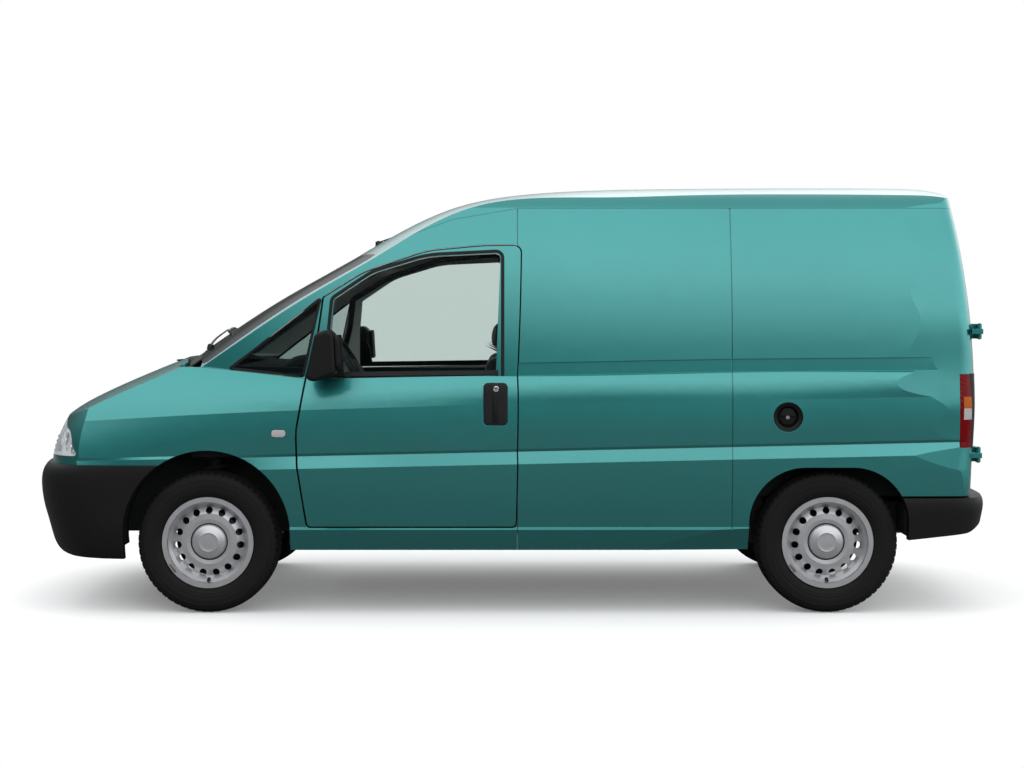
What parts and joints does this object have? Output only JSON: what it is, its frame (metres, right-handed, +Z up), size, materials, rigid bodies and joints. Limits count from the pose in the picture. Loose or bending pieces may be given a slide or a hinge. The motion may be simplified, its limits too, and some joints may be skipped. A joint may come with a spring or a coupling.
{
  "type": "panel van",
  "caption": "Small delivery van with a raised load body, hinged cab and tail doors, lifting bonnet and steered front wheels.",
  "frame": {"origin": "on the floor, under the middle of the van's overall box", "axes": "+X forward, +Y to the van's left, +Z up"},
  "size_m": [4.4434, 2.164, 1.979],
  "materials": {
    "body_paint": "gloss metallic",
    "trim_plastic": "grained",
    "window_glass": "clear, faintly green",
    "lamp_clear": "clear lens",
    "lamp_red": "lens",
    "underbody_steel": "satin",
    "cast_metal": "rough",
    "silver_steel": "silver paint",
    "tyre_rubber": "matt",
    "cabin_plastic": "grained",
    "seat_cloth": "woven"
  },
  "bodies": {
    "body": {"roof_panel": "body_paint", "load_side_left": "body_paint", "load_side_right": "body_paint", "sliding_door": "body_paint", "fuel_filler": "trim_plastic", "cab_frame": "body_paint", "windscreen": "window_glass", "quarter_glasses": "window_glass", "tail_lamps": "lamp_red", "front_wings": "body_paint", "grille": "trim_plastic", "headlamps": "lamp_clear", "scuttle_panel": "trim_plastic", "front_bumper": "trim_plastic", "rear_bumper": "trim_plastic", "front_subframe": "underbody_steel", "front_structure": "underbody_steel", "engine_block": "cast_metal", "rear_axle": "underbody_steel", "fuel_tank": "trim_plastic", "exhaust": "silver_steel", "dashboard": "cabin_plastic", "seats": "seat_cloth", "cab_bulkhead": "underbody_steel", "floor_pan": "underbody_steel"},
    "door_left": {"cab_door_left": "body_paint", "door_glass_left": "window_glass", "mirror_left": "trim_plastic"},
    "rear_door_left": {"rear_door_left": "body_paint"},
    "steered_left": {"knuckle_left": "cast_metal"},
    "wheel_front_left": {"tyre_front_left": "tyre_rubber", "rim_front_left": "silver_steel"},
    "wheel_rear_left": {"tyre_rear_left": "tyre_rubber", "rim_rear_left": "silver_steel"},
    "door_right": {"cab_door_right": "body_paint", "door_glass_right": "window_glass", "mirror_right": "trim_plastic"},
    "rear_door_right": {"rear_door_right": "body_paint"},
    "steered_right": {"knuckle_right": "cast_metal"},
    "wheel_front_right": {"tyre_front_right": "tyre_rubber", "rim_front_right": "silver_steel"},
    "wheel_rear_right": {"tyre_rear_right": "tyre_rubber", "rim_rear_right": "silver_steel"},
    "bonnet": {"bonnet": "body_paint"},
    "steering_wheel": {"steering_wheel": "cabin_plastic"}
  },
  "joints": [
    {"name": "cab_door_left", "type": "hinge", "parent": "body", "child": "door_left", "pos_m": [0.865, 0.88, 0.665], "axis": [0, 0, -1], "range_deg": [0, 68]},
    {"name": "rear_door_left", "type": "hinge", "parent": "body", "child": "rear_door_left", "pos_m": [-2.15, 0.792, 1], "axis": [0, 0, -1], "range_deg": [0, 180]},
    {"name": "steer_left", "type": "hinge", "parent": "body", "child": "steered_left", "pos_m": [1.372, 0.625, 0.322], "axis": [0, 0, 1], "range_deg": [-34, 34]},
    {"name": "roll_front_left", "type": "hinge", "parent": "steered_left", "child": "wheel_front_left", "pos_m": [1.372, 0.77, 0.322], "axis": [0, 1, 0], "continuous": true},
    {"name": "roll_rear_left", "type": "hinge", "parent": "body", "child": "wheel_rear_left", "pos_m": [-1.452, 0.77, 0.322], "axis": [0, 1, 0], "continuous": true},
    {"name": "cab_door_right", "type": "hinge", "parent": "body", "child": "door_right", "pos_m": [0.865, -0.88, 0.665], "axis": [0, 0, 1], "range_deg": [0, 68]},
    {"name": "rear_door_right", "type": "hinge", "parent": "body", "child": "rear_door_right", "pos_m": [-2.15, -0.792, 1], "axis": [0, 0, 1], "range_deg": [0, 180]},
    {"name": "steer_right", "type": "hinge", "parent": "body", "child": "steered_right", "pos_m": [1.372, -0.625, 0.322], "axis": [0, 0, 1], "range_deg": [-34, 34]},
    {"name": "roll_front_right", "type": "hinge", "parent": "steered_right", "child": "wheel_front_right", "pos_m": [1.372, -0.77, 0.322], "axis": [0, 1, 0], "continuous": true},
    {"name": "roll_rear_right", "type": "hinge", "parent": "body", "child": "wheel_rear_right", "pos_m": [-1.452, -0.77, 0.322], "axis": [0, 1, 0], "continuous": true},
    {"name": "bonnet_lift", "type": "hinge", "parent": "body", "child": "bonnet", "pos_m": [1.44, 0, 1.08], "axis": [0, -1, 0], "range_deg": [0, 50]},
    {"name": "steering_wheel_turn", "type": "hinge", "parent": "body", "child": "steering_wheel", "pos_m": [0.722, 0.38, 1.078], "axis": [-0.8643, 0, 0.503], "range_deg": [-544, 544]}
  ],
  "couplings": [
    {"joint": "steer_right", "follows": "steer_left", "ratio": 1},
    {"joint": "steering_wheel_turn", "follows": "steer_left", "ratio": 16}
  ]
}
